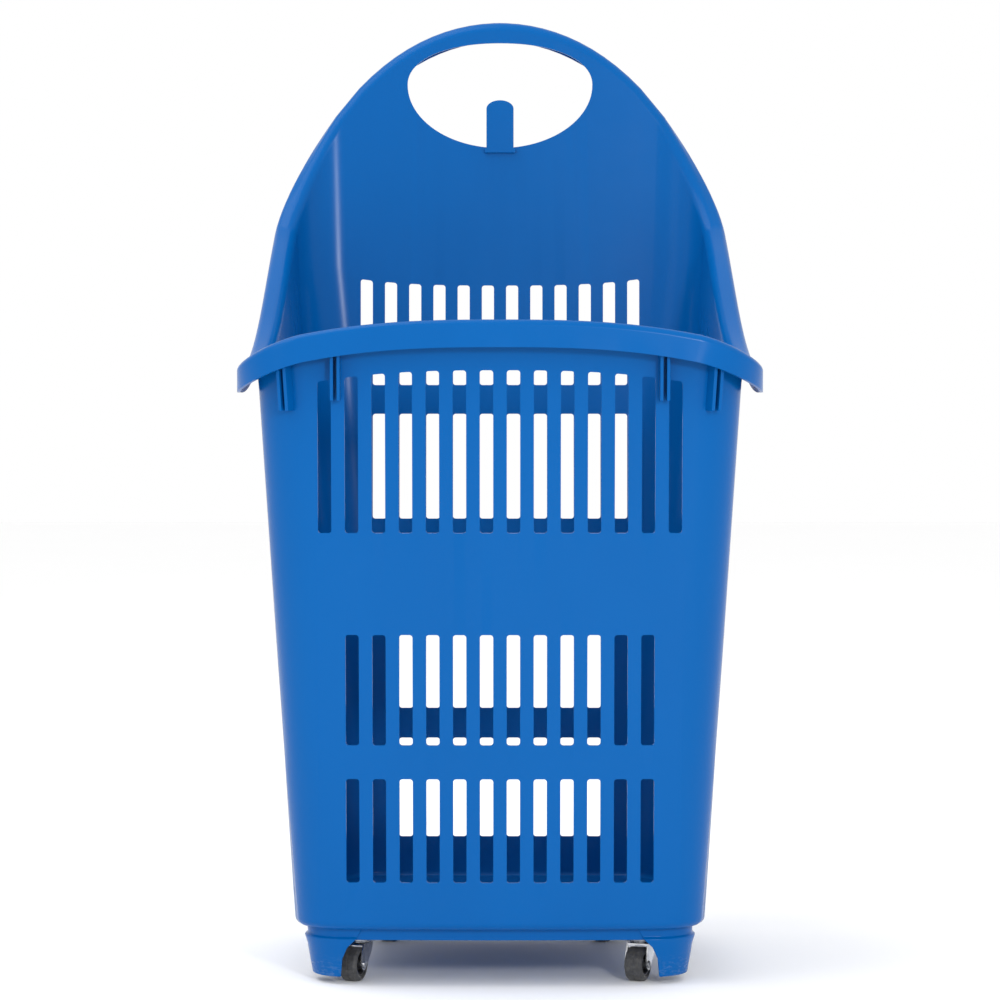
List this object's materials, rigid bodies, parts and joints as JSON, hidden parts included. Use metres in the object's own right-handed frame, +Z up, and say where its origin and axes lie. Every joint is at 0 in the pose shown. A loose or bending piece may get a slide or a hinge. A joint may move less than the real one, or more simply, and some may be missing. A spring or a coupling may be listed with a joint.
{
  "type": "rolling basket trolley",
  "caption": "Tall rolling shopping basket: slotted plastic tub, low front rim, arched back with a handle opening, corner feet and swivel casters under the floor.",
  "frame": {"origin": "middle of the bounding box, at the level of the floor the wheels stand on", "axes": "+Z up; -Y towards the low front rim; +Y towards the arched back with the handle; X across"},
  "size_m": [0.4744, 0.4628, 0.9025],
  "materials": {
    "basket_plastic": "satin, injection moulded",
    "caster_steel": "bright zinc plated",
    "caster_zinc": "bright zinc plated",
    "hub_plastic": "satin",
    "tyre_rubber": "matt",
    "screw_steel": "bright zinc plated"
  },
  "bodies": {
    "basket": {"basket_tub": "basket_plastic", "front_left_plate": "caster_steel", "front_left_race": "caster_zinc", "front_left_kingpin": "caster_steel", "front_left_screw_1": "screw_steel", "front_left_screw_2": "screw_steel", "front_left_screw_3": "screw_steel", "front_left_screw_4": "screw_steel", "front_right_plate": "caster_steel", "front_right_race": "caster_zinc", "front_right_kingpin": "caster_steel", "front_right_screw_1": "screw_steel", "front_right_screw_2": "screw_steel", "front_right_screw_3": "screw_steel", "front_right_screw_4": "screw_steel", "rear_left_plate": "caster_steel", "rear_left_race": "caster_zinc", "rear_left_kingpin": "caster_steel", "rear_left_screw_1": "screw_steel", "rear_left_screw_2": "screw_steel", "rear_left_screw_3": "screw_steel", "rear_left_screw_4": "screw_steel", "rear_right_plate": "caster_steel", "rear_right_race": "caster_zinc", "rear_right_kingpin": "caster_steel", "rear_right_screw_1": "screw_steel", "rear_right_screw_2": "screw_steel", "rear_right_screw_3": "screw_steel", "rear_right_screw_4": "screw_steel"},
    "front_left_swivel": {"front_left_fork": "caster_zinc", "front_left_axle": "caster_steel"},
    "front_left_wheel": {"front_left_hub": "hub_plastic", "front_left_tyre": "tyre_rubber"},
    "front_right_swivel": {"front_right_fork": "caster_zinc", "front_right_axle": "caster_steel"},
    "front_right_wheel": {"front_right_hub": "hub_plastic", "front_right_tyre": "tyre_rubber"},
    "rear_left_swivel": {"rear_left_fork": "caster_zinc", "rear_left_axle": "caster_steel"},
    "rear_left_wheel": {"rear_left_hub": "hub_plastic", "rear_left_tyre": "tyre_rubber"},
    "rear_right_swivel": {"rear_right_fork": "caster_zinc", "rear_right_axle": "caster_steel"},
    "rear_right_wheel": {"rear_right_hub": "hub_plastic", "rear_right_tyre": "tyre_rubber"}
  },
  "joints": [
    {"name": "front_left_swivel_hinge", "type": "hinge", "parent": "basket", "child": "front_left_swivel", "pos_m": [-0.13, -0.12436, 0.0375], "axis": [0, 0, 1], "continuous": true},
    {"name": "front_left_wheel_hinge", "type": "hinge", "parent": "front_left_swivel", "child": "front_left_wheel", "pos_m": [-0.13394, -0.13463, 0.0155], "axis": [0.9336, -0.3584, 0], "continuous": true},
    {"name": "front_right_swivel_hinge", "type": "hinge", "parent": "basket", "child": "front_right_swivel", "pos_m": [0.13, -0.12436, 0.0375], "axis": [0, 0, 1], "continuous": true},
    {"name": "front_right_wheel_hinge", "type": "hinge", "parent": "front_right_swivel", "child": "front_right_wheel", "pos_m": [0.12606, -0.13463, 0.0155], "axis": [0.9336, -0.3584, 0], "continuous": true},
    {"name": "rear_left_swivel_hinge", "type": "hinge", "parent": "basket", "child": "rear_left_swivel", "pos_m": [-0.104, 0.10564, 0.0375], "axis": [0, 0, 1], "continuous": true},
    {"name": "rear_left_wheel_hinge", "type": "hinge", "parent": "rear_left_swivel", "child": "rear_left_wheel", "pos_m": [-0.10794, 0.09537, 0.0155], "axis": [0.9336, -0.3584, 0], "continuous": true},
    {"name": "rear_right_swivel_hinge", "type": "hinge", "parent": "basket", "child": "rear_right_swivel", "pos_m": [0.104, 0.10564, 0.0375], "axis": [0, 0, 1], "continuous": true},
    {"name": "rear_right_wheel_hinge", "type": "hinge", "parent": "rear_right_swivel", "child": "rear_right_wheel", "pos_m": [0.10006, 0.09537, 0.0155], "axis": [0.9336, -0.3584, 0], "continuous": true}
  ]
}
